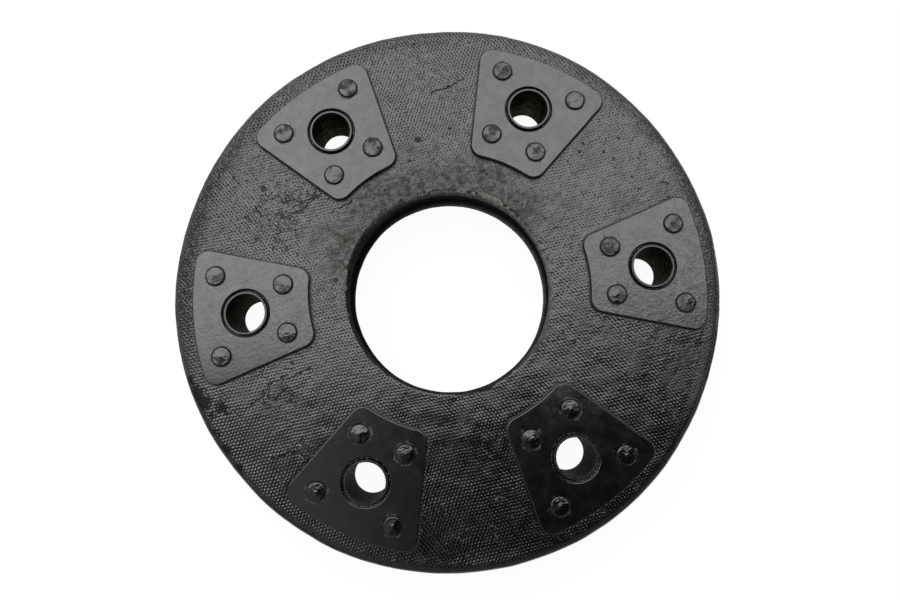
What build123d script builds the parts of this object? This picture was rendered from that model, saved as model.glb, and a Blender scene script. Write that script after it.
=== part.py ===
from build123d import *
import math
import os

# A flexible disc coupling for a shaft line: a thick ring of rubberised canvas with six bolt
# stations. At each station a steel sleeve passes through the ring, and a steel plate on each
# face spreads the bolt's load. Four rivets hold the two plates and the canvas together.
# +Z is the coupling's axis, towards the face with the set rivet heads. The origin is on the
# axis, half way through the thickness, and station 1 lies on +X.

# Driving dimensions, millimetres and degrees
STATIONS = 6
PITCH_RADIUS = 96.0

DISC_RADIUS = 130.0
DISC_THICKNESS = 26.0
SHOULDER_RADIUS = 4.5
HOLE_RADIUS = 47.5
LIP_RADIUS = 1.4
LIP_HEIGHT = 6.4
GROOVE_DEPTH = 1.6

SLEEVE_BORE_RADIUS = 9.0
SLEEVE_WALL = 1.2
SLEEVE_LENGTH = 31.0
SLEEVE_CHAMFER = 0.25

PLATE_THICKNESS = 2.0
PLATE_INNER_RADIUS = 66.3
PLATE_OUTER_RADIUS = 120.6
PLATE_SIDE_ANGLE = 17.5
PLATE_SIDE_INSET = 3.1
PLATE_CORNER_RADIUS = 6.0
PLATE_HOLE_RADIUS = 11.3
PLATE_ROLLED_EDGE = 0.5
PLATE_HOLE_EDGE = 0.4

RIVET_RADIUS = 2.5
RIVET_HEAD_RADIUS = 4.4
FACTORY_HEAD_HEIGHT = 2.6
SET_HEAD_HEIGHT = 1.16
SET_HEAD_RIM = 0.85
SET_HEAD_EDGE = 0.6
PIP_RADIUS = 0.9
PIP_HEIGHT = 0.15

# Rivet centres, from the sleeve's centre: outwards from the coupling's axis, then across
INNER_RIVETS = (-18.6, 11.4)
OUTER_RIVETS = (12.7, 19.0)

# Worked out from the driving dimensions
HALF_THICKNESS = DISC_THICKNESS / 2
SLEEVE_RADIUS = SLEEVE_BORE_RADIUS + SLEEVE_WALL
PLATE_FACE = HALF_THICKNESS + PLATE_THICKNESS
RIVET_PLACES = [
    (PITCH_RADIUS + outwards, side * across)
    for outwards, across in (INNER_RIVETS, OUTER_RIVETS)
    for side in (1, -1)
]


def station_plane(angle, facing):
    """The mid-plane with its X through a station, facing the front (1) or the back (-1)."""
    outwards = Vector(1, 0, 0).rotate(Axis.Z, angle)
    return Plane(origin=(0, 0, 0), x_dir=outwards, z_dir=(0, 0, facing))


def cap_radius(half_width, height):
    """Radius of the sphere whose cap has this half width and height."""
    return (half_width**2 + height**2) / (2 * height)


os.makedirs("parts", exist_ok=True)

# Canvas ring: plies of rubberised duck laid up in a ring mould and cured into one block. The
# outer shoulders are full. The hole's wall has a lip at each face and a groove between them.
with BuildPart() as fabric_disc:
    with BuildSketch(Plane.XY.offset(-HALF_THICKNESS)):
        Circle(DISC_RADIUS)
        Circle(HOLE_RADIUS, mode=Mode.SUBTRACT)
    extrude(amount=DISC_THICKNESS)
    rims = fabric_disc.edges().filter_by(GeomType.CIRCLE)
    fillet(rims.filter_by(lambda rim: rim.radius > PITCH_RADIUS), SHOULDER_RADIUS)
    rims = fabric_disc.edges().filter_by(GeomType.CIRCLE)
    fillet(rims.filter_by(lambda rim: rim.radius < PITCH_RADIUS), LIP_RADIUS)
    with BuildSketch(Plane.XZ):
        with BuildLine():
            groove_half = HALF_THICKNESS - LIP_HEIGHT
            mouth = Line((HOLE_RADIUS, groove_half), (HOLE_RADIUS, -groove_half))
            SagittaArc(mouth @ 0, mouth @ 1, GROOVE_DEPTH)
        make_face()
    revolve(axis=Axis.Z, mode=Mode.SUBTRACT)
    with PolarLocations(PITCH_RADIUS, STATIONS):
        Hole(SLEEVE_RADIUS)
    for x, y in RIVET_PLACES:
        with PolarLocations(math.hypot(x, y), STATIONS, math.degrees(math.atan2(y, x))):
            Hole(RIVET_RADIUS)
fabric_disc.part.label = "fabric_disc"
export_step(fabric_disc.part, "parts/fabric_disc.step")

# Outline of every plate, with its own station on X. The inner and outer edges are arcs about
# the coupling's axis, and the sides are set in from the radial lines.
with BuildSketch() as plate_outline:
    with BuildLine():
        slope = math.tan(math.radians(PLATE_SIDE_ANGLE))
        inset = PLATE_SIDE_INSET / math.cos(math.radians(PLATE_SIDE_ANGLE))
        tip = (inset / slope, 0)
        far_corner = (DISC_RADIUS, DISC_RADIUS * slope - inset)
        Polyline(tip, far_corner, (DISC_RADIUS, -far_corner[1]), close=True)
    make_face()
    Circle(PLATE_OUTER_RADIUS, mode=Mode.INTERSECT)
    Circle(PLATE_INNER_RADIUS, mode=Mode.SUBTRACT)
    fillet(plate_outline.vertices(), PLATE_CORNER_RADIUS)

# Every rivet, on its own axis: a round factory head at the back, the shank, and a set head in
# front, which is a low cone with a rounded rim and a pip where the centre of the set was
with BuildPart() as rivet:
    with BuildSketch(Plane.XZ) as rivet_profile:
        with BuildLine():
            factory_head = RadiusArc(
                (0, -PLATE_FACE - FACTORY_HEAD_HEIGHT),
                (RIVET_HEAD_RADIUS, -PLATE_FACE),
                -cap_radius(RIVET_HEAD_RADIUS, FACTORY_HEAD_HEIGHT),
            )
            shank_and_cone = Polyline(
                factory_head @ 1,
                (RIVET_RADIUS, -PLATE_FACE),
                (RIVET_RADIUS, PLATE_FACE),
                (RIVET_HEAD_RADIUS, PLATE_FACE),
                (RIVET_HEAD_RADIUS, PLATE_FACE + SET_HEAD_RIM),
                (PIP_RADIUS, PLATE_FACE + SET_HEAD_HEIGHT),
            )
            pip = RadiusArc(
                shank_and_cone @ 1,
                (0, PLATE_FACE + SET_HEAD_HEIGHT + PIP_HEIGHT),
                -cap_radius(PIP_RADIUS, PIP_HEIGHT),
            )
            Line(pip @ 1, factory_head @ 0)
        make_face()
        outermost = rivet_profile.vertices().group_by(Axis.X)[-1]
        fillet(outermost.sort_by(Axis.Y)[-1], SET_HEAD_EDGE)
    revolve(axis=Axis.Z)

for number in range(1, STATIONS + 1):
    angle = (number - 1) * 360 / STATIONS
    front = station_plane(angle, 1)
    back = station_plane(angle, -1)

    # Sleeve: a cut length of steel tube, standing a little proud of both plates, with the
    # edges of its ends broken
    with BuildPart() as sleeve:
        with BuildSketch(front.offset(-SLEEVE_LENGTH / 2)):
            with Locations((PITCH_RADIUS, 0)):
                Circle(SLEEVE_RADIUS)
                Circle(SLEEVE_BORE_RADIUS, mode=Mode.SUBTRACT)
        extrude(amount=SLEEVE_LENGTH)
        chamfer(sleeve.faces().filter_by(Axis.Z).edges(), SLEEVE_CHAMFER)
    sleeve.part.label = f"sleeve_{number}"
    export_step(sleeve.part, f"parts/{sleeve.part.label}.step")

    # Plates: blanked from sheet and punched, with the outer face's outline rolled over by the
    # die. The same blank lies on both faces of the ring.
    for side, plane in (("front", front), ("back", back)):
        with BuildPart() as plate:
            with BuildSketch(plane.offset(HALF_THICKNESS)):
                add(plate_outline.sketch)
                with Locations((PITCH_RADIUS, 0)):
                    Circle(PLATE_HOLE_RADIUS, mode=Mode.SUBTRACT)
                with Locations(*RIVET_PLACES):
                    Circle(RIVET_RADIUS, mode=Mode.SUBTRACT)
            extrude(amount=PLATE_THICKNESS)
            outer_face = plate.faces().sort_by(Axis((0, 0, 0), plane.z_dir))[-1]
            fillet(outer_face.outer_wire().edges(), PLATE_ROLLED_EDGE)
            holes = plate.edges().filter_by(GeomType.CIRCLE).group_by(Axis((0, 0, 0), plane.z_dir))[-1]
            fillet(holes.filter_by(lambda hole: hole.radius == PLATE_HOLE_RADIUS), PLATE_HOLE_EDGE)
        plate.part.label = f"{side}_plate_{number}"
        export_step(plate.part, f"parts/{plate.part.label}.step")

    # Rivets: the station's four, as separate solids
    with BuildPart(front) as rivets:
        with Locations(*RIVET_PLACES):
            add(rivet.part)
    rivets.part.label = f"rivets_{number}"
    export_step(rivets.part, f"parts/{rivets.part.label}.step")
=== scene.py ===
import math

import bmesh
import bpy
from mathutils import Matrix, Vector, noise
from mathutils.bvhtree import BVHTree


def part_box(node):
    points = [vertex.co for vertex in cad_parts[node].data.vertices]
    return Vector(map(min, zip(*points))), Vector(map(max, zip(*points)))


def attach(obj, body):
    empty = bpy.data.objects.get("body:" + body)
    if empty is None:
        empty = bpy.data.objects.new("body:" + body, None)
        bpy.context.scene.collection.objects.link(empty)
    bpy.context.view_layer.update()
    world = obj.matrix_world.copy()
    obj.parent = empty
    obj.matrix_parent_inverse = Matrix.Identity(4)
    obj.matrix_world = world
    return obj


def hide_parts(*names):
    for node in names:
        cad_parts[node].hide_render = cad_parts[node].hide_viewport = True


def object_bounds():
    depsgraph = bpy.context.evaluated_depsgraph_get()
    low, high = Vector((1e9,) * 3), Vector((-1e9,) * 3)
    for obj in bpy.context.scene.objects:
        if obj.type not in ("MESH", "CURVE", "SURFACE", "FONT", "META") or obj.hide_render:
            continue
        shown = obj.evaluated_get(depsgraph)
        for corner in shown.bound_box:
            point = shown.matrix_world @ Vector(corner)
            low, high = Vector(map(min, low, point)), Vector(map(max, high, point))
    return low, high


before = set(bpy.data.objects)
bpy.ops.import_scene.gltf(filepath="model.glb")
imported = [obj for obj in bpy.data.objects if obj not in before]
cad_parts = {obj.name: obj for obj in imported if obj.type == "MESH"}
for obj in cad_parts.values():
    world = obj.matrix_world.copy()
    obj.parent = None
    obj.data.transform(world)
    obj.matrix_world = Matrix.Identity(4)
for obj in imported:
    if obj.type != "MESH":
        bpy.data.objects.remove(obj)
cad_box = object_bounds()


# Floor: a wide sheet of white seamless paper, on which the coupling lies on its factory heads.
# It shows white to the eye and in reflections, and still takes a part of the light, so that
# the coupling's own shadow stays on it.
MM = 0.001
PAPER_WHITE = "#F2F2F0"
PAPER_SIZE = 6.0
PAPER_GLOW = 0.95


def linear(hex_colour):
    """An sRGB hex value as the linear colour that a shader socket takes."""
    channels = [int(hex_colour[i : i + 2], 16) / 255 for i in (1, 3, 5)]
    return [c / 12.92 if c <= 0.04045 else ((c + 0.055) / 1.055) ** 2.4 for c in channels] + [1.0]


def add_node(tree, kind, inputs=None, **settings):
    """Adds a node. Its sockets take values, other nodes' outputs, or nodes, for their first output."""
    made = tree.nodes.new(kind)
    for name, value in settings.items():
        setattr(made, name, value)
    for socket, value in (inputs or {}).items():
        if isinstance(value, bpy.types.Node):
            value = value.outputs[0]
        if isinstance(value, bpy.types.NodeSocket):
            tree.links.new(value, made.inputs[socket])
        else:
            made.inputs[socket].default_value = value
    return made


def place(name, shape):
    """Makes a bmesh into an object of that name, and frees the bmesh."""
    mesh = bpy.data.meshes.new(name)
    shape.to_mesh(mesh)
    shape.free()
    made = bpy.data.objects.new(name, mesh)
    bpy.context.scene.collection.objects.link(made)
    return made


sheet = bmesh.new()
bmesh.ops.create_grid(sheet, x_segments=1, y_segments=1, size=PAPER_SIZE)
bmesh.ops.translate(sheet, verts=sheet.verts, vec=(0, 0, cad_box[0].z))
floor = place("floor", sheet)

paper = bpy.data.materials.new("seamless_paper")
paper.use_nodes = True
tree = paper.node_tree
tree.nodes.clear()
ray = add_node(tree, "ShaderNodeLightPath").outputs
seen = ray["Is Camera Ray"]
for kind in ("Is Glossy Ray", "Is Transmission Ray"):
    seen = add_node(tree, "ShaderNodeMath", {0: seen, 1: ray[kind]}, operation="MAXIMUM")
share = add_node(tree, "ShaderNodeMath", {0: seen, 1: PAPER_GLOW}, operation="MULTIPLY")
lit = add_node(tree, "ShaderNodeBsdfDiffuse", {"Color": linear(PAPER_WHITE)})
glow = add_node(tree, "ShaderNodeEmission", {"Color": (1, 1, 1, 1), "Strength": 1.0})
mixed = add_node(tree, "ShaderNodeMixShader", {0: share, 1: lit, 2: glow})
add_node(tree, "ShaderNodeOutputMaterial", {"Surface": mixed})
floor.data.materials.append(paper)


# Light: one big softbox overhead, leaning over the far side of the coupling, and a dim room
# that is paler to the left. The far half of the face mirrors the softbox, the near half the room.
SOFTBOX_SIZE = (2.1, 1.3)
SOFTBOX_DISTANCE = 1.2
SOFTBOX_AZIMUTH = math.radians(-12)
SOFTBOX_TILT = math.radians(31)
SOFTBOX_TURN = math.radians(-15)
SOFTBOX_RADIANCE = 3.8
CEILING_DARK = 0.02
CEILING_LIT = 0.6
ROOM_DARK = 0.22
ROOM_LIT = 0.45

towards = Vector((
    math.sin(SOFTBOX_AZIMUTH) * math.sin(SOFTBOX_TILT),
    math.cos(SOFTBOX_AZIMUTH) * math.sin(SOFTBOX_TILT),
    math.cos(SOFTBOX_TILT),
))
softbox = bpy.data.lights.new("softbox", "AREA")
softbox.shape = "RECTANGLE"
softbox.size, softbox.size_y = SOFTBOX_SIZE
softbox.energy = SOFTBOX_RADIANCE * math.pi * softbox.size * softbox.size_y
lamp = bpy.data.objects.new("softbox", softbox)
aim = towards.to_track_quat("Z", "Y") @ Matrix.Rotation(SOFTBOX_TURN, 3, "Z").to_quaternion()
lamp.matrix_world = Matrix.Translation(towards * SOFTBOX_DISTANCE) @ aim.to_matrix().to_4x4()
bpy.context.scene.collection.objects.link(lamp)

room = bpy.data.worlds.new("room")
room.use_nodes = True
bpy.context.scene.world = room
tree = room.node_tree
tree.nodes.clear()
outlook = add_node(tree, "ShaderNodeTexCoord").outputs["Generated"]
outlook = add_node(tree, "ShaderNodeSeparateXYZ", {0: outlook}).outputs
ceiling = add_node(
    tree, "ShaderNodeMapRange",
    {"Value": outlook["X"], "From Min": 0.0, "From Max": -0.25,
     "To Min": CEILING_DARK, "To Max": CEILING_LIT},
    interpolation_type="SMOOTHSTEP",
)
wall = add_node(
    tree, "ShaderNodeMapRange",
    {"Value": outlook["X"], "From Min": 0.5, "From Max": -0.8, "To Min": ROOM_DARK, "To Max": ROOM_LIT},
    interpolation_type="SMOOTHSTEP",
)
wall = add_node(
    tree, "ShaderNodeMapRange",
    {"Value": outlook["Z"], "From Min": 0.6, "From Max": 0.93, "To Min": wall, "To Max": ceiling},
    interpolation_type="SMOOTHSTEP",
)
ray = add_node(tree, "ShaderNodeLightPath").outputs
backdrop = add_node(tree, "ShaderNodeMath", {0: wall, 1: ray["Is Camera Ray"]}, operation="MAXIMUM")
light = add_node(tree, "ShaderNodeBackground", {"Color": (1, 1, 1, 1), "Strength": backdrop})
add_node(tree, "ShaderNodeOutputWorld", {"Surface": light})
bpy.context.scene.view_settings.view_transform = "Standard"


# Camera: held above the coupling and a little towards the near side, turned slightly so that
# station 1 sits past three o'clock.
CAMERA_PLACE = Vector((-4.2, -44.2, 334.8)) * MM
CAMERA_TURN = [math.radians(angle) for angle in (7.034, 0.159, -6.632)]
CAMERA_LENS = 27.58
SENSOR_WIDTH = 36.0

camera = bpy.data.objects.new("camera", bpy.data.cameras.new("camera"))
camera.data.sensor_width = SENSOR_WIDTH
camera.data.lens = CAMERA_LENS
camera.data.clip_start = 10 * MM
camera.location = CAMERA_PLACE
camera.rotation_euler = CAMERA_TURN
bpy.context.scene.collection.objects.link(camera)
bpy.context.scene.camera = camera


# Canvas ring: plies of cotton duck soaked in black rubber, laid up in a ring mould and cured
# into one block. It came out of the mould slightly off centre, swells a little beside the
# plates that squeeze it, and has frayed at the far edge of its hole.
ring_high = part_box("fabric_disc")[1]
RING_RADIUS = ring_high.x
HALF_THICKNESS = ring_high.z
HOLE_RADIUS = 47.5 * MM
SHOULDER = 4.5 * MM
LIP = 1.4 * MM
GROOVE_HALF = 6.6 * MM
GROOVE_DEPTH = 1.6 * MM
GROOVE_EDGE = 1 * MM

# The mesh is finest on the front, and finer still by the hole, where the edge has frayed.
FINE_RADIUS = 52.5 * MM
FRONT_STEP = 1.26 * MM
FRAYED_STEP = 0.7 * MM
WALL_STEP = 1.4 * MM
BACK_STEP = 3.6 * MM
SECTORS = 7
SECTOR_STEPS = 100
MERGE_DISTANCE = 0.001 * MM

ring = bmesh.new()
corners = [
    ring.verts.new((HOLE_RADIUS, 0, -HALF_THICKNESS)),
    ring.verts.new((RING_RADIUS, 0, -HALF_THICKNESS)),
    ring.verts.new((RING_RADIUS, 0, HALF_THICKNESS)),
    ring.verts.new((HOLE_RADIUS, 0, HALF_THICKNESS)),
]
for start, end in zip(corners, corners[1:] + corners[:1]):
    ring.edges.new((start, end))
for pair, offset, segments in ((corners[1:3], SHOULDER, 6), (corners[::3], LIP, 5)):
    bmesh.ops.bevel(
        ring, geom=pair, offset=offset, offset_type="OFFSET", segments=segments,
        profile=0.5, affect="VERTICES", material=-1,
    )
front = max(ring.edges, key=lambda edge: sum(vert.co.z for vert in edge.verts) + edge.calc_length())
inner = min(front.verts, key=lambda vert: vert.co.x)
fraction = (FINE_RADIUS - inner.co.x) / front.calc_length()
bmesh.utils.edge_split(front, inner, fraction)
for edge in list(ring.edges):
    length = edge.calc_length()
    middle = (edge.verts[0].co + edge.verts[1].co) / 2
    step = WALL_STEP
    if abs(middle.z) == HALF_THICKNESS:
        step = BACK_STEP if middle.z < 0 else FRONT_STEP if middle.x > FINE_RADIUS else FRAYED_STEP
    if length > 2 * step:
        bmesh.ops.subdivide_edges(ring, edges=[edge], cuts=round(length / step) - 1)


def smooth(low, high, value):
    """0 below low, 1 above high, and a smooth step between."""
    share = min(1.0, max(0.0, (value - low) / (high - low)))
    return share * share * (3 - 2 * share)


for vert in ring.verts:
    if vert.co.x < HOLE_RADIUS + LIP / 2:
        beyond = smooth(GROOVE_HALF - GROOVE_EDGE, GROOVE_HALF + GROOVE_EDGE, abs(vert.co.z))
        vert.co.x += GROOVE_DEPTH * (1 - beyond)
bmesh.ops.spin(
    ring, geom=ring.verts[:] + ring.edges[:], cent=(0, 0, 0), axis=(0, 0, 1), dvec=(0, 0, 0),
    angle=math.tau / SECTORS, steps=SECTOR_STEPS, use_merge=False, use_duplicate=False,
)
sector = ring.verts[:] + ring.edges[:] + ring.faces[:]
for n in range(1, SECTORS):
    turned = bmesh.ops.duplicate(ring, geom=sector)["geom"]
    bmesh.ops.rotate(
        ring, verts=[part for part in turned if isinstance(part, bmesh.types.BMVert)], cent=(0, 0, 0),
        matrix=Matrix.Rotation(n * math.tau / SECTORS, 3, "Z"),
    )
bmesh.ops.remove_doubles(ring, verts=ring.verts, dist=MERGE_DISTANCE)
bmesh.ops.recalc_face_normals(ring, faces=ring.faces)

# Where the skin of the front has been torn off the gum at the rim, in millimetres from the
# ring's centre, with the size of each spot. The mesh is finer there.
TORN_PLACES = (
    ((-122.0, -34.5), 3.6), ((-119.6, -38.4), 3.8), ((-111.6, -42.6), 2.6), ((-108.2, -44.6), 1.8),
    ((-124.9, -28.4), 1.8), ((-110.4, -61.4), 2.2), ((-114.6, -52.8), 1.7), ((-116.0, -45.0), 1.5),
    ((-105.0, -70.4), 1.7),
)
TORN_MARGIN = 2.6


def within_torn(point, margin):
    """Whether a point lies in a torn spot grown by so many millimetres."""
    return any((point.xy / MM - Vector(middle)).length < size + margin for middle, size in TORN_PLACES)


fine = [
    edge for edge in ring.edges
    if min(vert.co.z for vert in edge.verts) > 0
    and all(within_torn(vert.co, TORN_MARGIN) for vert in edge.verts)
]
bmesh.ops.subdivide_edges(ring, edges=fine, cuts=3, use_grid_fill=True)

# The cloth's own coordinates lie flat on the faces and run on down the walls at the same scale.
# Each point also keeps its distance from the nearest plate, for the crevice beside it.
cloth = ring.loops.layers.uv.new("cloth")
plate_gap = ring.verts.layers.float.new("plate_gap")


def run(radius, height):
    """The distance from the ring's axis that a point would have with the walls laid out flat."""
    drop = HALF_THICKNESS - abs(height)
    if radius < HOLE_RADIUS + GROOVE_DEPTH + LIP and drop > 0:
        return HOLE_RADIUS - drop
    if radius < RING_RADIUS - SHOULDER:
        return radius
    if drop > SHOULDER:
        return RING_RADIUS - SHOULDER + SHOULDER * math.pi / 2 + drop - SHOULDER
    return RING_RADIUS - SHOULDER + SHOULDER * math.atan2(radius - RING_RADIUS + SHOULDER, SHOULDER - drop)


for vert in ring.verts:
    radius = math.hypot(vert.co.x, vert.co.y)
    scale = run(radius, vert.co.z) / radius
    for loop in vert.link_loops:
        loop[cloth].uv = (vert.co.x * scale, vert.co.y * scale)

# What the mould, the press and the years did to the shape, in millimetres: the slow waves of
# the rim and the hole, and how far in they start and are whole; the waves, lumps and grit of
# the faces, as a size and a height; the swelling beside the plates and the dent under them;
# and the frayed edge, with how far out and down it goes, and where across the ring it starts.
RIM_DRIFT = ((0, -0.25, 0), (1, -1.01, 0.82), (2, -0.38, 0.10), (3, -0.15, 0.07), (6, 0.31, 0.03))
HOLE_DRIFT = ((1, -0.44, -0.41),)
RIM_BAND = (9, 1)
HOLE_BAND = (12, 2)
UNEVENNESS = ((22, 0.24), (6.5, 0.13), (1.7, 0.05))
SWELL = 0.05
SWELL_PLACE = 1.2
SWELL_WIDTH = 1.1
FREE_OF_PLATE = 2
UNDER_PLATE = 0.3
DENT = 0.03
FACE_SKIN = 0.1
FRAY = 0.55
FRAY_SIZE = 2.6
FINE_FRAY_SIZE = 1.1
FRAY_SHIFT = Vector((7, 3, 1))
FRAY_BAND = (2.6, 0.4)
FRAY_DROP = 3
FRAY_START = -30


def drift(terms, angle):
    """How far a round edge stands out at an angle, as a sum of its slow waves."""
    return sum(a * math.cos(n * angle) + b * math.sin(n * angle) for n, a, b in terms) * MM


stations = range(1, 7)
plates = bmesh.new()
for n in stations:
    for side in ("front", "back"):
        plates.from_mesh(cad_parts[f"{side}_plate_{n}"].data)
pressing = BVHTree.FromBMesh(plates)
plates.free()
for vert in ring.verts:
    here = vert.co.copy()
    radius = math.hypot(here.x, here.y)
    angle = math.atan2(here.y, here.x)
    outward = Vector((here.x / radius, here.y / radius, 0))
    rise = sum(height * noise.noise(here / (size * MM)) for size, height in UNEVENNESS)
    vert[plate_gap] = SHOULDER
    if abs(here.z) > HALF_THICKNESS - FACE_SKIN * MM:
        vert[plate_gap] = (pressing.find_nearest(here)[0] - here).length
        beside = vert[plate_gap] / MM
        if beside < UNDER_PLATE:
            rise = min(rise, 0) - DENT
        else:
            swelling = SWELL * math.exp(-(((beside - SWELL_PLACE) / SWELL_WIDTH) ** 2))
            rise = rise * smooth(0, FREE_OF_PLATE, beside) + swelling
    by_edge = smooth(HOLE_RADIUS + FRAY_BAND[0] * MM, HOLE_RADIUS + FRAY_BAND[1] * MM, radius)
    by_edge *= smooth(FRAY_START * MM, 0, here.y)
    if by_edge > 0 and here.z > HALF_THICKNESS - FRAY_DROP * MM:
        coarse = noise.noise(here / (FRAY_SIZE * MM) + FRAY_SHIFT)
        tear = coarse + 0.5 * noise.noise(here / (FINE_FRAY_SIZE * MM))
        rise += by_edge * FRAY * (tear - 0.2)
    vert.co = here + vert.normal * rise * MM
    at_rim = smooth(RING_RADIUS - RIM_BAND[0] * MM, RING_RADIUS - RIM_BAND[1] * MM, radius)
    at_hole = smooth(HOLE_RADIUS + HOLE_BAND[0] * MM, HOLE_RADIUS + HOLE_BAND[1] * MM, radius)
    vert.co += outward * drift(RIM_DRIFT, angle) * at_rim
    vert.co += outward * drift(HOLE_DRIFT, angle) * at_hole
canvas_ring = place("canvas_ring", ring)

# The sleeves stand in clean round holes, bored through all the plies at once. The rivets fill
# their own holes, wholly under the plates, so those aren't cut.
SLEEVE_RADIUS = 10.2 * MM
BORE_CLEARANCE = 0.05 * MM
BORE_RADIUS = SLEEVE_RADIUS + BORE_CLEARANCE
BORE_SEGMENTS = 96
BORER_LENGTH = 60 * MM
bores = bmesh.new()
for n in stations:
    bore_low, bore_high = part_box(f"sleeve_{n}")
    centre = (bore_low + bore_high) / 2
    bmesh.ops.create_cone(
        bores, cap_ends=True, segments=BORE_SEGMENTS, radius1=BORE_RADIUS, radius2=BORE_RADIUS,
        depth=BORER_LENGTH, matrix=Matrix.Translation((centre.x, centre.y, 0)),
    )
borer = place("bores", bores)
bored = canvas_ring.modifiers.new("bored", "BOOLEAN")
bored.operation = "DIFFERENCE"
bored.solver = "MANIFOLD"
bored.object = borer
whole = canvas_ring.evaluated_get(bpy.context.evaluated_depsgraph_get())
finished = bpy.data.meshes.new_from_object(whole)
canvas_ring.modifiers.clear()
canvas_ring.data = finished
bpy.data.objects.remove(borer)
canvas_ring.data.shade_smooth()
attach(canvas_ring, "root")
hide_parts("fabric_disc")

# Its finish is rubberised cotton duck: the gum's skin gives a dull broad gloss, and the weave
# below prints through it as slanting rows of crowns with a dark pit between each four. Years
# of handling have left grit, hairline cracks in the skin, creases, and smudges with no gloss.
RUBBER_BLACK = "#040403"
DUST_BROWN = "#0A0907"
LEFT_PATCH_GREY = "#26251F"
THREAD_PITCH = 1.45 * MM
THREAD_WAVES = ((-83.5, 0.9, 0.9, 0.0), (-25.5, 1.2, -0.1, 0.0), (-144.5, 0.7, 2.3, 1.9))
THREAD_SWAY = 1.5 * MM
SWAY_SIZE = 11 * MM
THREAD_JITTER = 0.5 * MM
JITTER_SIZE = 2.6 * MM
CROWN_DEPTH = 0.034 * MM
PIT_SPREAD = 3.2 * MM
PIT_DEPTH = 0.16 * MM
RUBBED_SIZE = 13 * MM
GRAIN_SIZE = 1.15 * MM
GRAIN_DEPTH = 0.30 * MM
PUCKER_SIZE = 3.6 * MM
PUCKER_DEPTH = 0.60 * MM
CRACK_CELL = 3.6 * MM
CRACK_RUN = math.radians(22)
CRACK_BREAK = 5 * MM
JAG_SIZE = 2.2 * MM
JAG = 3.0 * MM
CREASE_HALF_WIDTH = 0.42 * MM
CREASE_DEPTH = 1.4 * MM
SMUDGE_SIZE = 9 * MM
NEAR = (-0.2, -0.98, 0)

# Where the front face is marked, in millimetres from the ring's centre: patches that have been
# worked until the skin cracked, with their radii, then the creases' ends, and the deeper pits
# with theirs.
WORKED_PATCHES = (((-78, 46), 24), ((-56, 56), 12), ((-84, -38), 15), ((-76, -66), 12), ((-50, 22), 9))
CREASES = (
    ((-76.1, 43.4), (-65.8, 46.2)), ((-65.8, 46.2), (-59.0, 51.8)), ((-69.9, 48.6), (-57.0, 53.0)),
    ((-88.0, 50.7), (-85.1, 45.5)), ((-48.1, 45.6), (-41.6, 48.3)), ((2.1, 97.6), (10.1, 99.6)),
    ((10.1, 99.6), (18.5, 103.1)), ((-79.4, -32.3), (-68.3, -28.6)), ((-88.3, -34.1), (-79.4, -30.6)),
    ((-97.0, -42.6), (-91.0, -38.6)), ((-90.3, -67.9), (-81.0, -65.9)), ((-81.0, -65.9), (-73.4, -69.0)),
    ((90.8, -32.3), (92.8, -34.4)), ((106.2, 40.6), (109.9, 39.0)), ((-86.0, -41.0), (-80.0, -36.8)),
)
DEEP_PITS = (
    ((-93.2, 45.9), 1.0), ((-88.8, 34.6), 1.0), ((-96.8, 66.7), 0.8), ((-83.0, 59.1), 1.2),
    ((-81.1, 29.4), 0.8), ((-76.4, -25.5), 0.9), ((-6.8, 74.7), 1.4), ((-11.8, 64.7), 0.6),
    ((9.2, 78.9), 0.6), ((24.3, 54.0), 0.7), ((72.2, 63.4), 1.0), ((81.7, 58.3), 0.8),
    ((70.2, 59.6), 0.8), ((63.8, 55.9), 0.5), ((55.2, -30.5), 0.6), ((-46.8, 28.8), 1.0),
    ((89.9, 64.4), 0.6), ((93.3, 44.4), 0.6), ((-52.8, 11.1), 1.2),
)
PIT_EDGE = 0.4
# The middle and the reach, in millimetres, of a patch left of the hole where the canvas is paler and greyer.
LEFT_PATCH_PLACE = (-66, 14, 0)
LEFT_PATCH_REACH = 58

duck = bpy.data.materials.new("rubberised_cotton_duck")
duck.use_nodes = True
tree = duck.node_tree
shader = tree.nodes["Principled BSDF"]
shader.inputs["Specular IOR Level"].default_value = 0.62
spot = add_node(tree, "ShaderNodeTexCoord").outputs["Object"]
level = add_node(tree, "ShaderNodeVectorMath", {0: spot, 1: (1, 1, 0)}, operation="MULTIPLY")
depth = add_node(tree, "ShaderNodeSeparateXYZ", {0: spot}).outputs["Z"]
in_front = add_node(
    tree, "ShaderNodeMapRange",
    {"Value": depth, "From Min": HALF_THICKNESS - SHOULDER, "From Max": HALF_THICKNESS - 1 * MM},
)


def wear(tree, spot, towards, start, end, low, high, curve="SMOOTHSTEP"):
    """The share of some wear, from low to high between two distances, in mm, towards one side."""
    along = add_node(tree, "ShaderNodeVectorMath", {0: spot, 1: towards}, operation="DOT_PRODUCT")
    return add_node(
        tree, "ShaderNodeMapRange",
        {"Value": along.outputs["Value"], "From Min": start * MM, "From Max": end * MM,
         "To Min": low, "To Max": high},
        interpolation_type=curve,
    )


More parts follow.
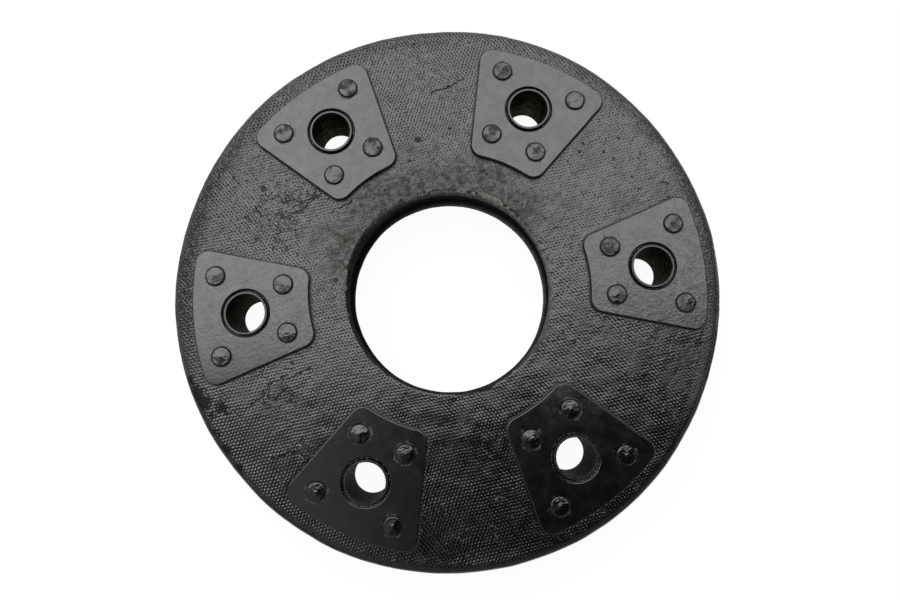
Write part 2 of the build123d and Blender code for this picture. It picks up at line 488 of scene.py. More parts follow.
# Three sets of ridges cross in the weave. Each has a direction in degrees, its height at the
# left and at the right, for the cloth was pulled out of square, and a phase, which the 1 in the
# cloth's third coordinate brings in. They wander a little under the press.
sway = add_node(tree, "ShaderNodeTexNoise", {"Vector": spot, "Scale": 1 / SWAY_SIZE, "Detail": 2.0})
jitter = add_node(tree, "ShaderNodeTexNoise", {"Vector": spot, "Scale": 1 / JITTER_SIZE, "Detail": 1.0})
lay = add_node(tree, "ShaderNodeUVMap", uv_map="cloth")
for wander, reach in ((sway, THREAD_SWAY), (jitter, THREAD_JITTER)):
    lay = add_node(
        tree, "ShaderNodeVectorMath", {0: wander.outputs["Color"], 1: (reach, reach, 0), 2: lay},
        operation="MULTIPLY_ADD",
    )
lay = add_node(tree, "ShaderNodeVectorMath", {0: lay, 1: (0, 0, 1)}, operation="ADD")
sideways = add_node(tree, "ShaderNodeSeparateXYZ", {0: spot}).outputs["X"]
weave = 0.0
for angle, left, right, phase in THREAD_WAVES:
    turn = math.tau / THREAD_PITCH
    wave = (math.cos(math.radians(angle)) * turn, math.sin(math.radians(angle)) * turn, phase)
    along = add_node(tree, "ShaderNodeVectorMath", {0: lay, 1: wave}, operation="DOT_PRODUCT")
    crest = add_node(tree, "ShaderNodeMath", {0: along.outputs["Value"]}, operation="COSINE")
    height = add_node(
        tree, "ShaderNodeMapRange",
        {"Value": sideways, "From Min": -90 * MM, "From Max": 80 * MM, "To Min": left, "To Max": right},
    )
    weave = add_node(tree, "ShaderNodeMath", {0: crest, 1: height, 2: weave}, operation="MULTIPLY_ADD")
uneven = add_node(
    tree, "ShaderNodeTexNoise", {"Vector": spot, "Scale": 1 / PIT_SPREAD, "Detail": 3.0, "Roughness": 0.6}
)
low = add_node(tree, "ShaderNodeMath", {0: uneven, 1: 6.0, 2: -4.3}, operation="MULTIPLY_ADD")
low = add_node(tree, "ShaderNodeMath", {0: low, 1: weave}, operation="SUBTRACT")
pit = add_node(
    tree, "ShaderNodeMapRange", {"Value": low, "From Min": 0.0, "From Max": 1.4},
    interpolation_type="SMOOTHSTEP",
)

# By the hole on the far side the skin has been rubbed smooth and dull. It is grainy towards the
# left and round the rim, though hardly on the near side.
radius = add_node(tree, "ShaderNodeVectorMath", {0: level}, operation="LENGTH").outputs["Value"]
patches = add_node(tree, "ShaderNodeTexNoise", {"Vector": spot, "Scale": 1 / RUBBED_SIZE, "Detail": 3.0})
inwards = add_node(tree, "ShaderNodeMath", {0: patches, 1: 42 * MM, 2: radius}, operation="MULTIPLY_ADD")
by_hole = add_node(
    tree, "ShaderNodeMapRange", {"Value": inwards, "From Min": 97 * MM, "From Max": 76 * MM},
    interpolation_type="SMOOTHSTEP",
)
far_side = wear(tree, spot, (-0.2, 0.98, 0), 0, 35, 0.0, 1.0)
rubbed = add_node(tree, "ShaderNodeMath", {0: by_hole, 1: far_side}, operation="MULTIPLY")
rim = add_node(
    tree, "ShaderNodeMapRange",
    {"Value": radius, "From Min": RING_RADIUS - 12 * MM, "From Max": RING_RADIUS - 5 * MM},
    interpolation_type="SMOOTHSTEP",
)
away_from_near = wear(tree, spot, NEAR, 10, 75, 1.0, 0.1)
worn_rim = add_node(tree, "ShaderNodeMath", {0: rim, 1: away_from_near}, operation="MULTIPLY")
grainy = wear(tree, spot, (-0.9, 0.2, 0), -20, 75, 0.25, 1.0)
grainy = add_node(tree, "ShaderNodeMath", {0: grainy, 1: away_from_near}, operation="MULTIPLY")
grainy = add_node(tree, "ShaderNodeMath", {0: grainy, 1: worn_rim}, operation="MAXIMUM")
near_side = add_node(tree, "ShaderNodeMath", {0: 1.0, 1: away_from_near}, operation="SUBTRACT")

# The weave shows most at the far left, where the skin is thinnest, and is hidden where it has
# been rubbed. It is also fuller at the left of the rim. On the near side it is flatter by the
# hole, fuller by the rim, and flatter towards the left.
bare = wear(tree, spot, (-0.75, 0.65, 0), -60, 80, 0.4, 1.3)
hidden = add_node(tree, "ShaderNodeMapRange", {"Value": rubbed, "To Min": 1.0, "To Max": 0.35})
left_rim = add_node(
    tree, "ShaderNodeMapRange", {"Value": sideways, "From Min": 30 * MM, "From Max": -40 * MM, "To Max": 0.6}
)
outwards = wear(tree, spot, NEAR, 60, 100, -0.3, 0.3, "LINEAR")
near_left = add_node(
    tree, "ShaderNodeMapRange",
    {"Value": sideways, "From Min": -80 * MM, "From Max": 0.0, "To Min": -0.55, "To Max": 0.0},
)
bare = add_node(tree, "ShaderNodeMath", {0: bare, 1: hidden}, operation="MULTIPLY")
for change, zone in ((left_rim, rim), (near_side, outwards), (near_side, near_left)):
    kept = add_node(tree, "ShaderNodeMath", {0: change, 1: zone, 2: 1.0}, operation="MULTIPLY_ADD")
    bare = add_node(tree, "ShaderNodeMath", {0: bare, 1: kept}, operation="MULTIPLY")
grain = add_node(
    tree, "ShaderNodeTexNoise", {"Vector": spot, "Scale": 1 / GRAIN_SIZE, "Detail": 3.0, "Roughness": 0.6}
)
grain_pit = add_node(
    tree, "ShaderNodeMapRange", {"Value": grain, "From Min": 0.395, "From Max": 0.26},
    interpolation_type="SMOOTHSTEP",
)
grain_pit = add_node(tree, "ShaderNodeMath", {0: grain_pit, 1: grainy}, operation="MULTIPLY")
pit = add_node(tree, "ShaderNodeMath", {0: pit, 1: bare}, operation="MULTIPLY")
pit = add_node(tree, "ShaderNodeMath", {0: pit, 1: 0.4}, operation="MULTIPLY")
pit = add_node(tree, "ShaderNodeMath", {0: pit, 1: grain_pit}, operation="MAXIMUM")
pucker = add_node(
    tree, "ShaderNodeTexNoise", {"Vector": spot, "Scale": 1 / PUCKER_SIZE, "Detail": 2.0, "Distortion": 0.8}
)

# The skin's hairline cracks keep to the worked patches, and run mostly one way.
jagged = add_node(tree, "ShaderNodeTexNoise", {"Vector": spot, "Scale": 1 / JAG_SIZE, "Detail": 3.0})
centred = add_node(tree, "ShaderNodeVectorMath", {0: level, 1: (JAG / 2, JAG / 2, 0)}, operation="SUBTRACT")
ragged = add_node(
    tree, "ShaderNodeVectorMath", {0: jagged.outputs["Color"], 1: (JAG, JAG, 0), 2: centred},
    operation="MULTIPLY_ADD",
)
drawn = add_node(
    tree, "ShaderNodeMapping", {"Vector": ragged, "Rotation": (0, 0, CRACK_RUN), "Scale": (0.45, 1, 1)},
    vector_type="TEXTURE",
)
cells = add_node(
    tree, "ShaderNodeTexVoronoi", {"Vector": drawn, "Scale": 1 / CRACK_CELL}, feature="DISTANCE_TO_EDGE"
)
crack = add_node(
    tree, "ShaderNodeMapRange",
    {"Value": cells.outputs["Distance"], "From Min": 0.0, "From Max": 0.085, "To Min": 1.0, "To Max": 0.0},
)
worked = 0.0
for (x, y), reach in WORKED_PATCHES:
    middle = Vector((x, y, 0)) * MM
    away = add_node(tree, "ShaderNodeVectorMath", {0: level, 1: middle}, operation="DISTANCE")
    within = add_node(
        tree, "ShaderNodeMapRange",
        {"Value": away.outputs["Value"], "From Min": reach * MM, "From Max": 0.3 * reach * MM},
        interpolation_type="SMOOTHSTEP",
    )
    worked = add_node(tree, "ShaderNodeMath", {0: within, 1: worked}, operation="MAXIMUM")
broken = add_node(tree, "ShaderNodeTexNoise", {"Vector": spot, "Scale": 1 / CRACK_BREAK, "Detail": 2.0})
broken = add_node(tree, "ShaderNodeMath", {0: broken, 1: 6.0, 2: -3.9}, operation="MULTIPLY_ADD")
broken = add_node(
    tree, "ShaderNodeMath", {0: worked, 1: 1.1, 2: broken}, operation="MULTIPLY_ADD", use_clamp=True
)
broken = add_node(tree, "ShaderNodeMath", {0: broken, 1: 0.55}, operation="MULTIPLY")
crack = add_node(tree, "ShaderNodeMath", {0: crack, 1: broken}, operation="MULTIPLY")

# A crease is the shape within so far of a straight run, and a pit is a small round hollow; the
# ragged coordinates bend and fray them both.
nearest = 1.0
for start, end in CREASES:
    middle = (Vector(start) + Vector(end)) / 2 * MM
    course = (Vector(end) - Vector(start)) * MM
    heading = math.atan2(course.y, course.x)
    offset = -(Matrix.Rotation(-heading, 2) @ middle)
    beside = add_node(
        tree, "ShaderNodeMapping",
        {"Vector": ragged, "Rotation": (0, 0, -heading), "Location": offset.to_3d()},
    )
    beside = add_node(tree, "ShaderNodeVectorMath", {0: beside}, operation="ABSOLUTE")
    beside = add_node(
        tree, "ShaderNodeVectorMath", {0: beside, 1: (course.length / 2, 0, 0)}, operation="SUBTRACT"
    )
    beside = add_node(tree, "ShaderNodeVectorMath", {0: beside, 1: (0, 0, 0)}, operation="MAXIMUM")
    beside = add_node(tree, "ShaderNodeVectorMath", {0: beside}, operation="LENGTH").outputs["Value"]
    nearest = add_node(tree, "ShaderNodeMath", {0: beside, 1: nearest}, operation="MINIMUM")
for (x, y), size in DEEP_PITS:
    middle = Vector((x, y, 0)) * MM
    away = add_node(tree, "ShaderNodeVectorMath", {0: ragged, 1: middle}, operation="DISTANCE")
    away = add_node(
        tree, "ShaderNodeMath", {0: away.outputs["Value"], 1: (size - PIT_EDGE) * MM}, operation="SUBTRACT"
    )
    nearest = add_node(tree, "ShaderNodeMath", {0: away, 1: nearest}, operation="MINIMUM")
mark = add_node(
    tree, "ShaderNodeMapRange",
    {"Value": nearest, "From Min": 0.0, "From Max": CREASE_HALF_WIDTH, "To Min": 1.0, "To Max": 0.0},
    interpolation_type="SMOOTHSTEP",
)
cut = add_node(tree, "ShaderNodeMath", {0: mark, 1: crack}, operation="MAXIMUM")
cut = add_node(tree, "ShaderNodeMath", {0: cut, 1: in_front}, operation="MULTIPLY")
hollow = add_node(tree, "ShaderNodeMath", {0: cut, 1: grain}, operation="MULTIPLY")

# The relief adds up the grain, the puckers that handling raised, the crowns, and all the hollows.
relief = add_node(tree, "ShaderNodeMath", {0: grain, 1: GRAIN_DEPTH}, operation="MULTIPLY")
relief = add_node(tree, "ShaderNodeMath", {0: relief, 1: grainy}, operation="MULTIPLY")
handled = add_node(tree, "ShaderNodeMath", {0: worked, 1: rubbed}, operation="MAXIMUM")
rumple = add_node(
    tree, "ShaderNodeMath", {0: handled, 1: PUCKER_DEPTH * 0.9, 2: PUCKER_DEPTH * 0.4},
    operation="MULTIPLY_ADD",
)
rumple = add_node(tree, "ShaderNodeMath", {0: rumple, 1: away_from_near}, operation="MULTIPLY")
crown = add_node(tree, "ShaderNodeMath", {0: weave, 1: bare}, operation="MULTIPLY")
for shape, height in ((pucker, rumple), (crown, CROWN_DEPTH), (pit, -PIT_DEPTH), (hollow, -CREASE_DEPTH)):
    relief = add_node(tree, "ShaderNodeMath", {0: shape, 1: height, 2: relief}, operation="MULTIPLY_ADD")
bump = add_node(tree, "ShaderNodeBump", {"Height": relief, "Distance": 1.0, "Strength": 1.0})
tree.links.new(bump.outputs[0], shader.inputs["Normal"])

# Smudges, pits and the bottoms of the cracks have no gloss. The near side is oily and shines.
smudge = add_node(
    tree, "ShaderNodeTexNoise", {"Vector": spot, "Scale": 1 / SMUDGE_SIZE, "Detail": 5.0, "Roughness": 0.6}
)
smudge = add_node(
    tree, "ShaderNodeMapRange", {"Value": smudge, "From Min": 0.45, "From Max": 0.7},
    interpolation_type="SMOOTHSTEP",
)
gap = add_node(tree, "ShaderNodeAttribute", attribute_name="plate_gap").outputs["Fac"]
crevice = add_node(
    tree, "ShaderNodeMapRange",
    {"Value": gap, "From Min": 0.3 * MM, "From Max": 1.1 * MM, "To Min": 1.0, "To Max": 0.0},
)
edge = add_node(tree, "ShaderNodeMath", {0: jagged, 1: 7 * MM, 2: radius}, operation="MULTIPLY_ADD")
frayed = add_node(
    tree, "ShaderNodeMapRange",
    {"Value": edge, "From Min": HOLE_RADIUS + 5.4 * MM, "From Max": HOLE_RADIUS + 4.4 * MM},
)
frayed = add_node(tree, "ShaderNodeMath", {0: frayed, 1: far_side}, operation="MULTIPLY")
matt = add_node(tree, "ShaderNodeMath", {0: pit, 1: cut}, operation="MAXIMUM")
matt = add_node(tree, "ShaderNodeMath", {0: matt, 1: crevice}, operation="MAXIMUM")
matt = add_node(tree, "ShaderNodeMath", {0: matt, 1: frayed}, operation="ADD")
blotch = add_node(
    tree, "ShaderNodeMapRange", {"Value": uneven, "From Min": 0.44, "From Max": 0.62},
    interpolation_type="SMOOTHSTEP",
)
blotch = add_node(tree, "ShaderNodeMath", {0: blotch, 1: rubbed}, operation="MULTIPLY")
scuffed = wear(tree, spot, (-0.8, 0.6, 0), 40, 90, 0.0, 1.0, "LINEAR")
scuffed = add_node(tree, "ShaderNodeMath", {0: rim, 1: scuffed}, operation="MULTIPLY")
speckle = add_node(
    tree, "ShaderNodeMapRange", {"Value": grain, "From Min": 0.58, "From Max": 0.4},
    interpolation_type="SMOOTHSTEP",
)
far_out = add_node(tree, "ShaderNodeMath", {0: sideways}, operation="ABSOLUTE")
far_out = add_node(tree, "ShaderNodeMapRange", {"Value": far_out, "From Min": 60 * MM, "From Max": 112 * MM})
far_out = add_node(tree, "ShaderNodeMath", {0: far_out, 1: worn_rim}, operation="MULTIPLY")
speckle = add_node(tree, "ShaderNodeMath", {0: speckle, 1: far_out}, operation="MULTIPLY")
dull = 0.0
for share, weight in (
    (matt, 0.5), (smudge, 0.18), (rubbed, 0.28), (blotch, 0.25), (scuffed, 0.1), (speckle, 0.6),
):
    dull = add_node(tree, "ShaderNodeMath", {0: share, 1: weight, 2: dull}, operation="MULTIPLY_ADD")
dull = add_node(tree, "ShaderNodeMath", {0: dull, 1: 0.08}, operation="ADD")
dry = wear(tree, spot, NEAR, 25, 100, 1.0, 0.15)
dull = add_node(tree, "ShaderNodeMath", {0: dull, 1: dry, 2: 0.11}, operation="MULTIPLY_ADD")
tree.links.new(dull.outputs[0], shader.inputs["Roughness"])
tone = add_node(
    tree, "ShaderNodeMix", {0: smudge, 6: linear(RUBBER_BLACK), 7: linear(DUST_BROWN)}, data_type="RGBA"
)
# The colour turns paler and greyer towards a patch left of the hole.
left_patch = add_node(tree, "ShaderNodeVectorMath", {0: level, 1: Vector(LEFT_PATCH_PLACE) * MM}, operation="DISTANCE")
left_patch = add_node(
    tree, "ShaderNodeMapRange",
    {"Value": left_patch.outputs["Value"], "From Min": LEFT_PATCH_REACH * MM, "From Max": 0.4 * LEFT_PATCH_REACH * MM},
    interpolation_type="SMOOTHSTEP",
)
tone = add_node(
    tree, "ShaderNodeMix", {0: left_patch, 6: tone.outputs[2], 7: linear(LEFT_PATCH_GREY)}, data_type="RGBA"
)
tree.links.new(tone.outputs[2], shader.inputs["Base Color"])

# The ring's outside has the same weave in it, dulled and greyed by the mould's wall and by dust.
# The gum in the torn spots has the same dead grey.
MOULD_GREY = "#171613"
flank = duck.copy()
flank.name = "dusty_moulded_duck"
shader = flank.node_tree.nodes["Principled BSDF"]
shader.inputs["Specular IOR Level"].default_value = 0.07
flank.node_tree.links.remove(shader.inputs["Base Color"].links[0])
shader.inputs["Base Color"].default_value = linear(MOULD_GREY)

# The hole's wall is bare cured gum against the mould's core: no weave, a dull skin rubbed
# into upright streaks, and nearly no gloss. Its front and back lips carry painted light: a light
# grey painted for the light that falls on them, strongest towards the upper right.
GUM_BLACK = "#060605"
# A light grey for the painted light on the hole's lips, not the gum's own colour.
LIP_LIGHT_GREY = "#676661"
STREAK_WIDTH = 1.2 * MM
STREAK_DEPTH = 0.5 * MM
gum = bpy.data.materials.new("moulded_black_rubber")
gum.use_nodes = True
tree = gum.node_tree
shader = tree.nodes["Principled BSDF"]
shader.inputs["Specular IOR Level"].default_value = 0.02
shader.inputs["Roughness"].default_value = 0.8
spot = add_node(tree, "ShaderNodeTexCoord").outputs["Object"]
upright = add_node(tree, "ShaderNodeMapping", {"Vector": spot, "Scale": (1, 1, 0.12)})
streaks = add_node(tree, "ShaderNodeTexNoise", {"Vector": upright, "Scale": 1 / STREAK_WIDTH, "Detail": 3.0})
streaky = add_node(
    tree, "ShaderNodeMapRange", {"Value": streaks, "From Min": 0.35, "From Max": 0.7, "To Min": 0.5}
)
depth = add_node(tree, "ShaderNodeSeparateXYZ", {0: spot}).outputs["Z"]
back_lip = add_node(
    tree, "ShaderNodeMapRange", {"Value": depth, "From Min": -5.5 * MM, "From Max": -9.5 * MM},
    interpolation_type="SMOOTHSTEP",
)
front_lip = add_node(
    tree, "ShaderNodeMapRange", {"Value": depth, "From Min": 7 * MM, "From Max": 10.5 * MM},
    interpolation_type="SMOOTHSTEP",
)
# Painted light: both lips are mixed towards the light grey, most towards the upper right where the light
# falls, and the streaks break it up.
pale = add_node(tree, "ShaderNodeMath", {0: back_lip, 1: front_lip}, operation="ADD")
lit_towards_upper_right = wear(tree, spot, (0.77, 0.64, 0), -10, 42, 0.12, 1.0, "LINEAR")
for share in (streaky, lit_towards_upper_right):
    pale = add_node(tree, "ShaderNodeMath", {0: pale, 1: share}, operation="MULTIPLY")
tone = add_node(tree, "ShaderNodeMix", {0: pale, 6: linear(GUM_BLACK), 7: linear(LIP_LIGHT_GREY)}, data_type="RGBA")
tree.links.new(tone.outputs[2], shader.inputs["Base Color"])
bump = add_node(tree, "ShaderNodeBump", {"Height": streaks, "Distance": STREAK_DEPTH, "Strength": 1.0})
tree.links.new(bump.outputs[0], shader.inputs["Normal"])

# The gum reaches to the lip's edge, and the dusty flank climbs half way up the shoulder on the
# far side and nearly to the face on the near side. The torn spots have ragged outlines.
DUCK_SLOT, GUM_SLOT, FLANK_SLOT = range(3)
GUM_TOP = 0.03 * LIP
GUM_REACH = 0.5 * MM
FLANK_TOP_NEAR = 0.12 * SHOULDER
FLANK_TOP_FAR = 0.5 * SHOULDER
FLANK_CLIMB = (-60 * MM, 20 * MM)
RAGGED_OUTLINE = ((1.6, 2.2), (0.7, 1.6))
canvas_ring.data.materials.clear()
for finish in (duck, gum, flank):
    canvas_ring.data.materials.append(finish)
for face in canvas_ring.data.polygons:
    centre = face.center
    drop = HALF_THICKNESS - abs(centre.z)
    flank_top = FLANK_TOP_NEAR + (FLANK_TOP_FAR - FLANK_TOP_NEAR) * smooth(*FLANK_CLIMB, centre.y)
    face.material_index = DUCK_SLOT
    if math.hypot(centre.x, centre.y) < HOLE_RADIUS + GROOVE_DEPTH + GUM_REACH:
        if drop > GUM_TOP:
            face.material_index = GUM_SLOT
    elif drop > flank_top:
        face.material_index = FLANK_SLOT
    elif centre.z > 0:
        outline = sum(height * noise.noise(centre / (size * MM)) for size, height in RAGGED_OUTLINE)
        if within_torn(centre, outline):
            face.material_index = FLANK_SLOT


# Plates: blanked and punched from steel sheet and dipped in black enamel, which has dried to
# an even gloss with a faint orange peel. Each clamps the canvas on its face of the ring. Away
# from the near side they are dusty and mottled, and grime has gathered round the rivet heads.
ENAMEL_BLACK = "#040404"
GRIME_BROWN = "#14120E"
ENAMEL_DUST = "#2C2B27"
PEEL_SIZE = 1.6 * MM
PEEL_DEPTH = 0.10 * MM
GRIT_SIZE = 0.6 * MM
GRIT_DEPTH = 0.05 * MM
FLECK_SIZE = 1.1 * MM
FLECK_DEPTH = 0.03 * MM
CREVICE_DEPTH = 0.3 * MM
HAZE_SIZE = 7 * MM
MOTTLE_SIZE = 1.9 * MM
CLOT_SIZE = 3.4 * MM
GRIME_REACH = 3.2 * MM
DUST_SIZE = 4.5 * MM
STATION_RADIUS = 96 * MM
STATION_TURN = math.radians(60)
INNER_RIVET = Vector((-18.6, 11.4, 0)) * MM
OUTER_RIVET = Vector((12.7, 19.0, 0)) * MM
HEAD_RADIUS = 4.4 * MM

enamel = bpy.data.materials.new("black_enamel")
enamel.use_nodes = True
tree = enamel.node_tree
shader = tree.nodes["Principled BSDF"]
shader.inputs["Specular IOR Level"].default_value = 0.6
spot = add_node(tree, "ShaderNodeTexCoord").outputs["Object"]

# Every station folds onto one half of one station, with the sleeve's centre at the middle.
axes = add_node(tree, "ShaderNodeSeparateXYZ", {0: spot}).outputs
bearing = add_node(tree, "ShaderNodeMath", {0: axes["Y"], 1: axes["X"]}, operation="ARCTAN2")
bearing = add_node(
    tree, "ShaderNodeMath", {0: bearing, 1: STATION_TURN / 2, 2: -STATION_TURN / 2}, operation="WRAP"
)
level = add_node(tree, "ShaderNodeVectorMath", {0: spot, 1: (1, 1, 0)}, operation="MULTIPLY")
radius = add_node(tree, "ShaderNodeVectorMath", {0: level}, operation="LENGTH").outputs["Value"]
cosine = add_node(tree, "ShaderNodeMath", {0: bearing}, operation="COSINE")
sine = add_node(tree, "ShaderNodeMath", {0: bearing}, operation="SINE")
outwards = add_node(
    tree, "ShaderNodeMath", {0: cosine, 1: radius, 2: -STATION_RADIUS}, operation="MULTIPLY_ADD"
)
across = add_node(tree, "ShaderNodeMath", {0: sine, 1: radius}, operation="MULTIPLY")
across = add_node(tree, "ShaderNodeMath", {0: across}, operation="ABSOLUTE")
folded = add_node(tree, "ShaderNodeCombineXYZ", {0: outwards, 1: across})
inner = add_node(tree, "ShaderNodeVectorMath", {0: folded, 1: INNER_RIVET}, operation="DISTANCE")
outer = add_node(tree, "ShaderNodeVectorMath", {0: folded, 1: OUTER_RIVET}, operation="DISTANCE")
nearest = add_node(
    tree, "ShaderNodeMath", {0: inner.outputs["Value"], 1: outer.outputs["Value"]}, operation="MINIMUM"
)
crevice = add_node(
    tree, "ShaderNodeMapRange",
    {"Value": nearest, "From Min": HEAD_RADIUS, "From Max": HEAD_RADIUS + 0.5 * MM,
     "To Min": 1.0, "To Max": 0.0},
)
peel = add_node(tree, "ShaderNodeTexNoise", {"Vector": spot, "Scale": 1 / PEEL_SIZE, "Detail": 2.0})
grit = add_node(tree, "ShaderNodeTexNoise", {"Vector": spot, "Scale": 1 / GRIT_SIZE, "Detail": 2.0})
fleck = add_node(
    tree, "ShaderNodeTexNoise", {"Vector": spot, "Scale": 1 / FLECK_SIZE, "Detail": 2.0, "Distortion": 0.6}
)
fleck = add_node(tree, "ShaderNodeMapRange", {"Value": fleck, "From Min": 0.68, "From Max": 0.76})
weathered = wear(tree, spot, NEAR, 10, 60, 1.0, 0.12, "LINEAR")
fleck = add_node(tree, "ShaderNodeMath", {0: fleck, 1: weathered}, operation="MULTIPLY")
relief = add_node(tree, "ShaderNodeMath", {0: peel, 1: PEEL_DEPTH}, operation="MULTIPLY")
relief = add_node(tree, "ShaderNodeMath", {0: grit, 1: GRIT_DEPTH, 2: relief}, operation="MULTIPLY_ADD")
relief = add_node(tree, "ShaderNodeMath", {0: relief, 1: weathered}, operation="MULTIPLY")
for hollow, size in ((fleck, FLECK_DEPTH), (crevice, CREVICE_DEPTH)):
    relief = add_node(tree, "ShaderNodeMath", {0: hollow, 1: -size, 2: relief}, operation="MULTIPLY_ADD")
bump = add_node(tree, "ShaderNodeBump", {"Height": relief, "Distance": 1.0, "Strength": 1.0})
tree.links.new(bump.outputs[0], shader.inputs["Normal"])
reach = add_node(
    tree, "ShaderNodeMapRange",
    {"Value": nearest, "From Min": HEAD_RADIUS + GRIME_REACH, "From Max": HEAD_RADIUS},
)
clot = add_node(
    tree, "ShaderNodeTexNoise", {"Vector": spot, "Scale": 1 / CLOT_SIZE, "Detail": 4.0, "Roughness": 0.6}
)
clot = add_node(tree, "ShaderNodeMath", {0: reach, 1: 0.3, 2: clot}, operation="MULTIPLY_ADD")
grime = add_node(
    tree, "ShaderNodeMapRange", {"Value": clot, "From Min": 0.74, "From Max": 0.84},
    interpolation_type="SMOOTHSTEP",
)
grime = add_node(tree, "ShaderNodeMath", {0: grime, 1: reach}, operation="MULTIPLY")
mottle = add_node(tree, "ShaderNodeTexNoise", {"Vector": spot, "Scale": 1 / MOTTLE_SIZE, "Detail": 3.0})
mottle = add_node(
    tree, "ShaderNodeMapRange",
    {"Value": mottle, "From Min": 0.35, "From Max": 0.7, "To Min": -0.03, "To Max": 0.12},
)
dull = add_node(tree, "ShaderNodeTexNoise", {"Vector": spot, "Scale": 1 / HAZE_SIZE, "Detail": 4.0})
dull = add_node(
    tree, "ShaderNodeMapRange",
    {"Value": dull, "From Min": 0.3, "From Max": 0.7, "To Min": 0.12, "To Max": 0.2},
)
for share, weight in ((crevice, 0.5), (fleck, 0.2), (mottle, weathered), (grime, 0.5)):
    dull = add_node(tree, "ShaderNodeMath", {0: share, 1: weight, 2: dull}, operation="MULTIPLY_ADD")
tree.links.new(dull.outputs[0], shader.inputs["Roughness"])
dust = add_node(
    tree, "ShaderNodeTexNoise", {"Vector": spot, "Scale": 1 / DUST_SIZE, "Detail": 5.0, "Roughness": 0.62}
)
dust = add_node(tree, "ShaderNodeMapRange", {"Value": dust, "From Min": 0.4, "From Max": 0.68})
dust = add_node(tree, "ShaderNodeMath", {0: dust, 1: weathered}, operation="MULTIPLY")
tone = add_node(
    tree, "ShaderNodeMix", {0: dust, 6: linear(ENAMEL_BLACK), 7: linear(ENAMEL_DUST)}, data_type="RGBA"
)
tone = add_node(
    tree, "ShaderNodeMix", {0: grime, 6: tone.outputs[2], 7: linear(GRIME_BROWN)}, data_type="RGBA"
)
tree.links.new(tone.outputs[2], shader.inputs["Base Color"])
for n in stations:
    for side in ("front", "back"):
        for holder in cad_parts[f"{side}_plate_{n}"].material_slots:
            holder.material = enamel


# Sleeves: cut lengths of drawn steel tube, black from the phosphate bath and from old oil. The
# cut ends are a little brighter, and the bores hold a dry brown-black film.
OXIDE_GREY = "#403F3D"
OIL_BLACK = "#3E3C36"
FILM_SIZE = 3 * MM
SCOUR_SIZE = 0.8 * MM
SCOUR_DEPTH = 0.12 * MM
SLEEVE_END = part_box("sleeve_1")[1].z

oxide = bpy.data.materials.new("oiled_phosphated_steel")
oxide.use_nodes = True
tree = oxide.node_tree
shader = tree.nodes["Principled BSDF"]
shader.inputs["Metallic"].default_value = 1.0
shader.inputs["Specular Tint"].default_value = (0.3, 0.3, 0.3, 1)
spot = add_node(tree, "ShaderNodeTexCoord").outputs["Object"]
height = add_node(tree, "ShaderNodeSeparateXYZ", {0: spot}).outputs["Z"]
height = add_node(tree, "ShaderNodeMath", {0: height}, operation="ABSOLUTE")
cut_end = add_node(
    tree, "ShaderNodeMapRange",
    {"Value": height, "From Min": SLEEVE_END - 0.4 * MM, "From Max": SLEEVE_END - 0.1 * MM},
)
film = add_node(tree, "ShaderNodeTexNoise", {"Vector": spot, "Scale": 1 / FILM_SIZE, "Detail": 4.0})
film = add_node(
    tree, "ShaderNodeMapRange",
    {"Value": film, "From Min": 0.3, "From Max": 0.7, "To Min": 0.4, "To Max": 1.3},
)
bore_tone = add_node(
    tree, "ShaderNodeVectorMath", {0: linear(OIL_BLACK)[:3], "Scale": film}, operation="SCALE"
)
tone = add_node(tree, "ShaderNodeMix", {0: cut_end, 6: bore_tone, 7: linear(OXIDE_GREY)}, data_type="RGBA")
tree.links.new(tone.outputs[2], shader.inputs["Base Color"])
dull = add_node(tree, "ShaderNodeMapRange", {"Value": cut_end, "To Min": 0.5, "To Max": 0.27})
tree.links.new(dull.outputs[0], shader.inputs["Roughness"])
scour = add_node(tree, "ShaderNodeTexNoise", {"Vector": spot, "Scale": 1 / SCOUR_SIZE, "Detail": 3.0})
bump = add_node(tree, "ShaderNodeBump", {"Height": scour, "Distance": SCOUR_DEPTH, "Strength": 1.0})
tree.links.new(bump.outputs[0], shader.inputs["Normal"])
for n in stations:
    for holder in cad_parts[f"sleeve_{n}"].material_slots:
        holder.material = oxide


# Rivets: soft steel, set from the front by hand, so that every low cone has its own dents, and
# brushed over with the same enamel. It is matt at the foot of each head and glossiest on the
# near side, and away from there it has dull sooty patches.
DENT_SIZE = 4.6 * MM
DENT_DEPTH = 0.5 * MM
BRUSH_SIZE = 0.9 * MM
BRUSH_DEPTH = 0.1 * MM
SOOT_SIZE = 3.6 * MM
PLATE_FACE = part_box("front_plate_1")[1].z

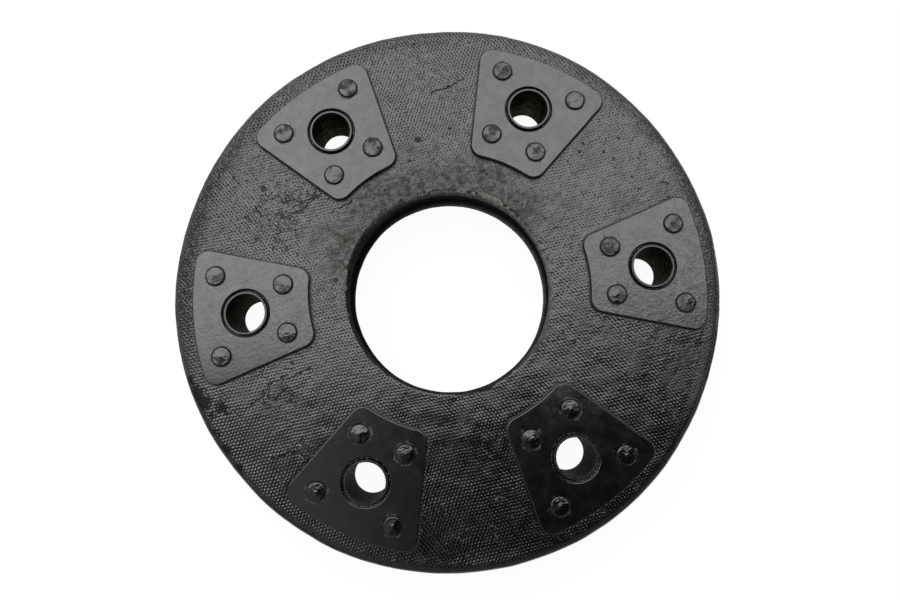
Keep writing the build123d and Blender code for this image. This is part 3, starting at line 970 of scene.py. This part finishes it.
brushed = bpy.data.materials.new("enamelled_rivet_steel")
brushed.use_nodes = True
tree = brushed.node_tree
shader = tree.nodes["Principled BSDF"]
shader.inputs["Specular IOR Level"].default_value = 0.6
shader.inputs["Base Color"].default_value = linear(ENAMEL_BLACK)
spot = add_node(tree, "ShaderNodeTexCoord").outputs["Object"]
dents = add_node(tree, "ShaderNodeTexNoise", {"Vector": spot, "Scale": 1 / DENT_SIZE, "Detail": 2.0})
strokes = add_node(tree, "ShaderNodeTexNoise", {"Vector": spot, "Scale": 1 / BRUSH_SIZE, "Detail": 2.0})
relief = add_node(tree, "ShaderNodeMath", {0: dents, 1: DENT_DEPTH}, operation="MULTIPLY")
relief = add_node(tree, "ShaderNodeMath", {0: strokes, 1: BRUSH_DEPTH, 2: relief}, operation="MULTIPLY_ADD")
bump = add_node(tree, "ShaderNodeBump", {"Height": relief, "Distance": 1.0, "Strength": 1.0})
tree.links.new(bump.outputs[0], shader.inputs["Normal"])
weathered = wear(tree, spot, NEAR, -40, 60, 1.0, 0.1, "LINEAR")
polish = add_node(tree, "ShaderNodeMath", {0: weathered, 1: 0.17, 2: 0.09}, operation="MULTIPLY_ADD")
height = add_node(tree, "ShaderNodeSeparateXYZ", {0: spot}).outputs["Z"]
height = add_node(tree, "ShaderNodeMath", {0: height}, operation="ABSOLUTE")
foot = add_node(
    tree, "ShaderNodeMapRange",
    {"Value": height, "From Min": PLATE_FACE + 0.3 * MM, "From Max": PLATE_FACE + 0.7 * MM,
     "To Min": 0.85, "To Max": polish},
)
soot = add_node(tree, "ShaderNodeTexNoise", {"Vector": spot, "Scale": 1 / SOOT_SIZE, "Detail": 1.0})
soot = add_node(
    tree, "ShaderNodeMapRange",
    {"Value": soot, "From Min": 0.36, "From Max": 0.74, "To Min": -0.1, "To Max": 0.6},
    interpolation_type="SMOOTHSTEP",
)
soot = add_node(tree, "ShaderNodeMath", {0: soot, 1: weathered}, operation="MULTIPLY")
dull = add_node(tree, "ShaderNodeMath", {0: foot, 1: soot}, operation="ADD")
tree.links.new(dull.outputs[0], shader.inputs["Roughness"])
for n in stations:
    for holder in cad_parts[f"rivets_{n}"].material_slots:
        holder.material = brushed
